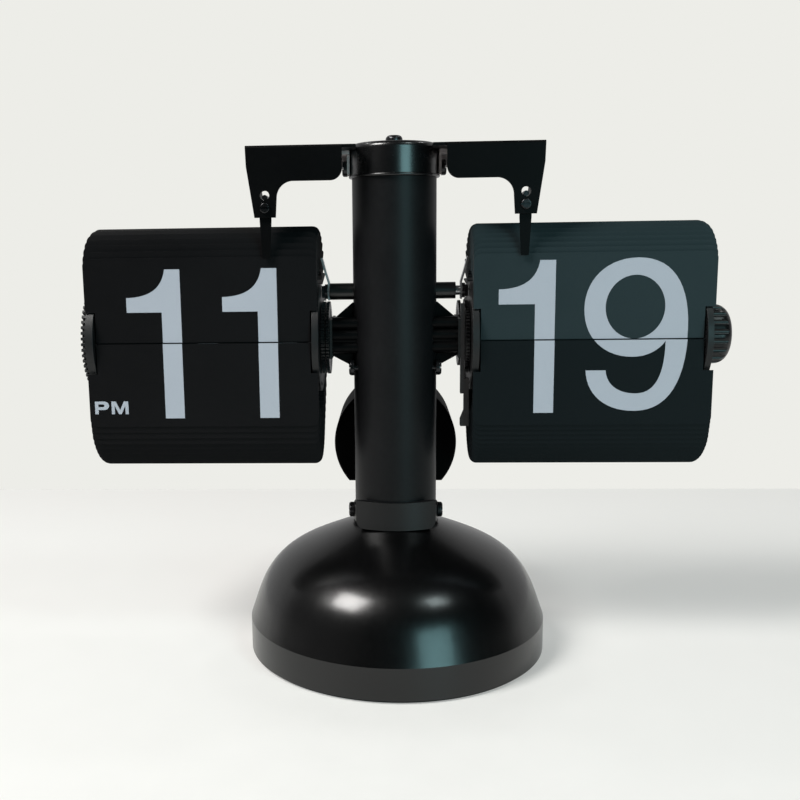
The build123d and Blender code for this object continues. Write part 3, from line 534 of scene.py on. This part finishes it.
def figure_one():
    """A one whose upright has its left edge at 0 and whose flag reaches to the left."""
    return [[
        *straight((0.0, 0.0), (ONE_UPRIGHT, 0.0), (ONE_UPRIGHT, FIGURE_HEIGHT), (1.4, FIGURE_HEIGHT)),
        ((0.4, 43.6), (-4.0, 40.8), (-ONE_FLAG, 40.7)),
        *straight((-ONE_FLAG, 35.8), (0.0, 35.8)),
    ]]


def figure_nine():
    """A nine about its middle, from the end of its tail and round the outside."""
    body = [
        *straight((-9.2, 14.0), (-15.6, 14.0)),
        ((-15.1, 5.6), (-8.7, 0.5), (0.3, 0.5)),
        ((11.3, 0.5), (16.5, 10.5), (16.5, 27.5)),
        ((16.5, 42.5), (10.5, 50.4), (0.2, 50.4)),
        ((-9.7, 50.4), (-16.4, 43.6), (-16.4, 34.2)),
        ((-16.4, 24.9), (-10.1, 18.4), (-0.8, 18.4)),
        ((3.6, 18.4), (7.4, 20.3), (9.5, 23.5)),
        ((9.6, 12.0), (6.6, 6.3), (0.7, 6.3)),
        ((-5.2, 6.3), (-8.8, 9.3), (-9.2, 14.0)),
    ]
    return [body, ring(-0.3, 34.6, 9.4, 10.3)]


def figure_eight():
    """An eight about its middle; its left side mirrors its right."""
    right = [
        ((0.0, 0.3),),
        ((9.6, 0.3), (16.4, 6.2), (16.4, 14.6)),
        ((16.4, 20.2), (13.6, 24.6), (9.4, 26.6)),
        ((12.9, 28.7), (14.9, 32.6), (14.9, 37.2)),
        ((14.9, 45.2), (8.8, 50.4), (0.0, 50.4)),
    ]
    left = [tuple((-x, z) for x, z in (step[1], step[0], before[-1]))
            for before, step in reversed(list(zip(right, right[1:])))]
    return [right[1:] + left, ring(0.0, 37.6, 8.3, 7.6), ring(0.0, 14.4, 9.7, 8.4)]


def figure_zero():
    """A zero about its middle."""
    return [ring(0.0, 25.3, 16.3, 25.2), ring(0.0, 25.3, 9.7, 19.2)]


def letters_pm():
    """The letters of the afternoon, with the first one's left edge at 0."""
    p = [
        *straight((0.0, 0.0), (1.15, 0.0), (1.15, 1.45), (2.9, 1.45)),
        ((4.0, 1.45), (4.75, 2.0), (4.75, 2.88)),
        ((4.75, 3.8), (4.0, 4.3), (2.9, 4.3)),
        *straight((0.0, 4.3)),
    ]
    p_hole = [
        *straight((1.15, 2.4), (1.15, 3.35), (2.7, 3.35)),
        ((3.4, 3.35), (3.4, 2.4), (2.7, 2.4)),
    ]
    m = straight((5.6, 0.0), (6.65, 0.0), (6.65, 2.9), (8.0, 0.0), (8.9, 0.0), (10.25, 2.9),
                 (10.25, 0.0), (11.3, 0.0), (11.3, 4.3), (9.8, 4.3), (8.45, 1.35), (7.1, 4.3),
                 (5.6, 4.3))
    return [p, p_hole, m]


def row(figures, foot, tallness=1.0):
    """The paths of some figures that stand side by side; figures are pairs of figure and x."""
    return [[tuple((x + px, foot + pz * tallness) for px, pz in step) for step in path]
            for figure, x in figures for path in figure]


def knots(path):
    """Point, incoming handle and outgoing handle of each step's end."""
    made = [[step[-1], step[-1], step[-1]] for step in path]
    for i, step in enumerate(path):
        if len(step) == 3:
            made[i - 1][2] = step[0]
            made[i][1] = step[1]
    return made


def filled(paths):
    """Mesh in the X-Y plane of the closed paths; a path inside another is a hole."""
    curve = bpy.data.curves.new("outline", "CURVE")
    curve.dimensions = "2D"
    curve.fill_mode = "BOTH"
    curve.extrude = (INK_THICKNESS + INK_SUNK) / 2
    curve.resolution_u = CURVE_STEPS
    for path in paths:
        spline = curve.splines.new("BEZIER")
        spline.bezier_points.add(len(path) - 1)
        for point, places in zip(spline.bezier_points, knots(path)):
            point.handle_left_type = "FREE"
            point.handle_right_type = "FREE"
            middle, before, after = (Vector((px * MM, pz * MM, 0)) for px, pz in places)
            point.co = middle
            point.handle_left = before
            point.handle_right = after
        spline.use_cyclic_u = True
    holder = bpy.data.objects.new("outline", curve)
    bpy.context.scene.collection.objects.link(holder)
    depsgraph = bpy.context.evaluated_depsgraph_get()
    mesh = bpy.data.meshes.new_from_object(holder.evaluated_get(depsgraph))
    bpy.data.objects.remove(holder)
    return mesh


def printed(name, paths, body, origin, outward, z_cut, keep_above, upside_down=False):
    """Raised print on a flap's face, cut off at the flap's edge.

    origin is the point of the face at the flap's left edge and at the height it turns about.
    outward is -1 for a face towards the viewer and 1 for one towards the back."""
    mesh = filled(paths)
    mesh.name = name
    middle = origin + Vector((0, outward * (INK_THICKNESS - INK_SUNK) / 2, 0))
    solid = bmesh.new()
    solid.from_mesh(mesh)
    bmesh.ops.remove_doubles(solid, verts=solid.verts, dist=0.0005 * MM)
    for v in solid.verts:
        v.co = middle + Vector((v.co.x, -v.co.z, v.co.y))
    everything = solid.verts[:] + solid.edges[:] + solid.faces[:]
    cut = bmesh.ops.bisect_plane(solid, geom=everything, dist=1e-7, plane_co=(0, 0, z_cut),
                                 plane_no=(0, 0, 1), clear_inner=keep_above,
                                 clear_outer=not keep_above)
    open_edges = [e for e in cut["geom_cut"] if isinstance(e, bmesh.types.BMEdge)]
    bmesh.ops.triangle_fill(solid, edges=open_edges, use_beauty=True, use_dissolve=False)
    if upside_down:
        for v in solid.verts:
            v.co.z = 2 * origin.z - v.co.z
    bmesh.ops.recalc_face_normals(solid, faces=solid.faces)
    solid.to_mesh(mesh)
    solid.free()
    obj = bpy.data.objects.new(name, mesh)
    bpy.context.scene.collection.objects.link(obj)
    mesh.materials.append(bpy.data.materials.get("digit_ink") or digit_ink())
    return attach(obj, body)


def print_numbers(unit, now, before, letters):
    """Print the shown number and the number before it on one drum's flaps."""
    fallen_low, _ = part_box(unit + "_fallen_flap")
    upper_low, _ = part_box(unit + "_flaps_upper")
    lower_low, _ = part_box(unit + "_flaps_lower")
    joint = next(j for j in frame["joints"] if j["name"] == unit + "_flap_fall")
    pivot = Vector(joint["pos_m"])
    front_y = pivot.y - FLAP_HALF_THICKNESS
    back_y = pivot.y + FLAP_HALF_THICKNESS
    flap = unit + "_flap"

    def at(face_y):
        return Vector((fallen_low.x, face_y, pivot.z))

    printed(unit + "_digits_upper", now, "frame", at(upper_low.y), -1, upper_low.z, True)
    printed(unit + "_digits_lower", now + letters, flap, at(front_y), -1, pivot.z, False)
    printed(unit + "_before_upper", before, flap, at(back_y), 1, upper_low.z, True,
            upside_down=True)
    printed(unit + "_before_lower", before + letters, "frame", at(lower_low.y), -1, pivot.z, False)


def make_prints():
    """11 PM with 10 before it on the hour drum, and 19 with 18 before it on the minute drum."""
    one = figure_one()
    print_numbers("hour",
                  row([(one, HOUR_TENS_X), (one, HOUR_ONE_X)], HOUR_FOOT, HOUR_TALLNESS),
                  row([(one, HOUR_TENS_X), (figure_zero(), HOUR_ZERO_X)], HOUR_FOOT, HOUR_TALLNESS),
                  row([(letters_pm(), LETTERS_X)], LETTERS_FOOT))
    print_numbers("minute",
                  row([(one, MINUTE_TENS_X), (figure_nine(), MINUTE_UNITS_X)], MINUTE_FOOT,
                      MINUTE_TALLNESS),
                  row([(one, MINUTE_TENS_X), (figure_eight(), MINUTE_UNITS_X)], MINUTE_FOOT,
                      MINUTE_TALLNESS),
                  [])


# ---------------------------------------------------------------------------
# The scene
# ---------------------------------------------------------------------------
bpy.context.scene.view_settings.view_transform = "Standard"
make_camera()
make_world()
make_lights()
make_stage()
dress_nodes()
soften_edges()
make_prints()
